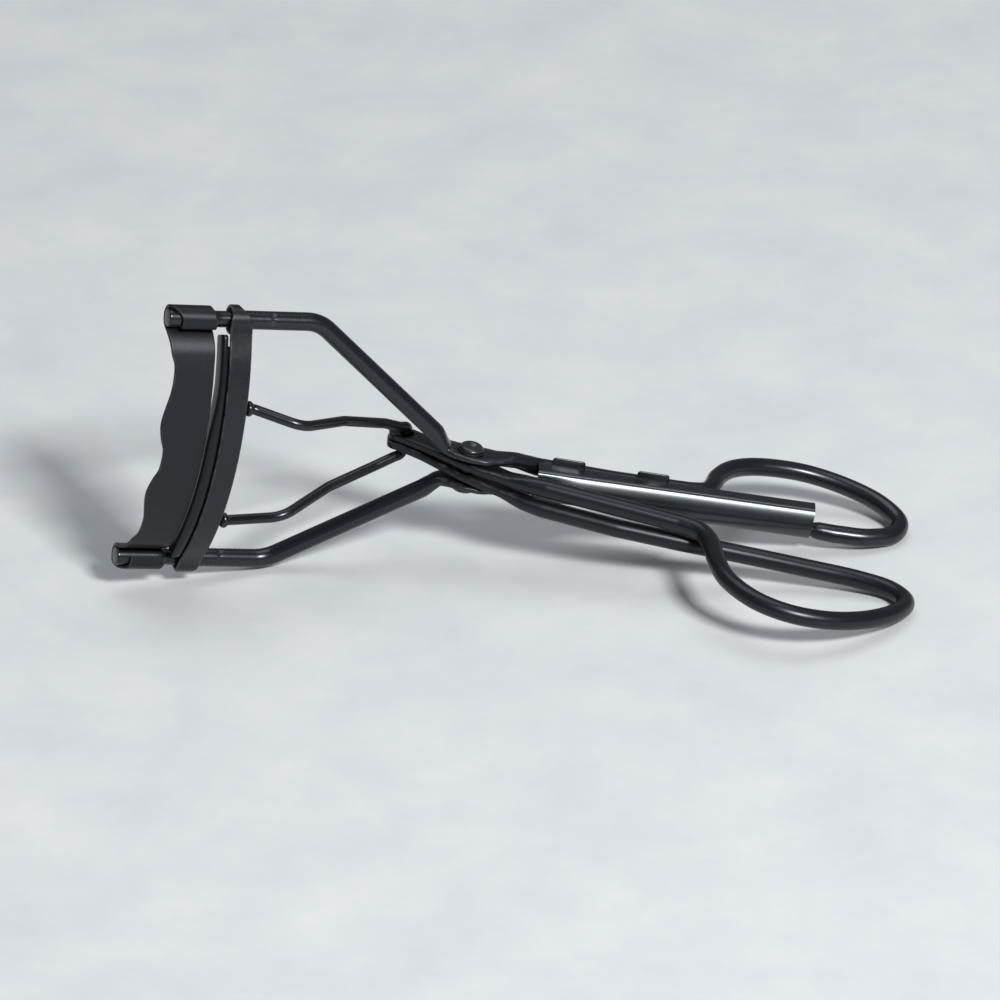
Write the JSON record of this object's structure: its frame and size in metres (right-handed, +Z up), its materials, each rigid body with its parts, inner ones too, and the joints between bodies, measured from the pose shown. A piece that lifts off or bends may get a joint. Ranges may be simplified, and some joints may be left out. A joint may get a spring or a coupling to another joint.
{
  "type": "eyelash curler",
  "caption": "Scissor-type eyelash curler: wire frame with two guide rods, curved fixed jaw, sliding padded jaw, push yoke and finger-loop handles, lying on its side.",
  "frame": {"origin": "on the resting plane, under the middle of the tool's box", "axes": "+X from the jaws to the finger loops, +Z up from the surface it lies on, +Y towards the fixed loop's side"},
  "size_m": [0.107, 0.0418, 0.0431],
  "materials": {
    "wire_black": "satin black coating on steel",
    "sheet_black": "satin black coating on steel",
    "sleeve_black": "satin black coating on steel",
    "rivet_black": "satin black coating on steel",
    "washer_black": "satin black coating on steel",
    "handle_black": "satin black coating on steel",
    "channel_black": "satin black coating on steel",
    "silicone_black": "smooth satin silicone rubber",
    "yoke_black": "satin black coating on steel"
  },
  "bodies": {
    "frame": {"frame_wire": "wire_black", "fixed_jaw": "sheet_black", "handle_sleeve": "sleeve_black", "pivot_rivet": "rivet_black", "rivet_washer": "washer_black"},
    "handle": {"moving_handle": "handle_black"},
    "jaw": {"moving_jaw": "channel_black", "silicone_pad": "silicone_black"},
    "yoke": {"push_yoke": "yoke_black"}
  },
  "joints": [
    {"name": "handle_hinge", "type": "hinge", "parent": "frame", "child": "handle", "pos_m": [-0.00608, 0.00485, 0.01437], "axis": [-0.2113, 0.0087, -0.9774], "range_deg": [-0.5, 30]},
    {"name": "jaw_slide", "type": "slide", "parent": "frame", "child": "jaw", "axis": [0.9267, 0.3198, -0.1975], "range_m": [-0.0001, 0.005]},
    {"name": "yoke_swing", "type": "hinge", "parent": "jaw", "child": "yoke", "pos_m": [-0.03721, -0.00458, 0.02101], "axis": [0.2113, -0.0087, 0.9774], "range_deg": [-0.12, 6]}
  ],
  "couplings": [
    {"joint": "jaw_slide", "follows": "handle_hinge", "m_per_rad": 0.009372},
    {"joint": "yoke_swing", "follows": "handle_hinge", "ratio": 0.1875}
  ]
}
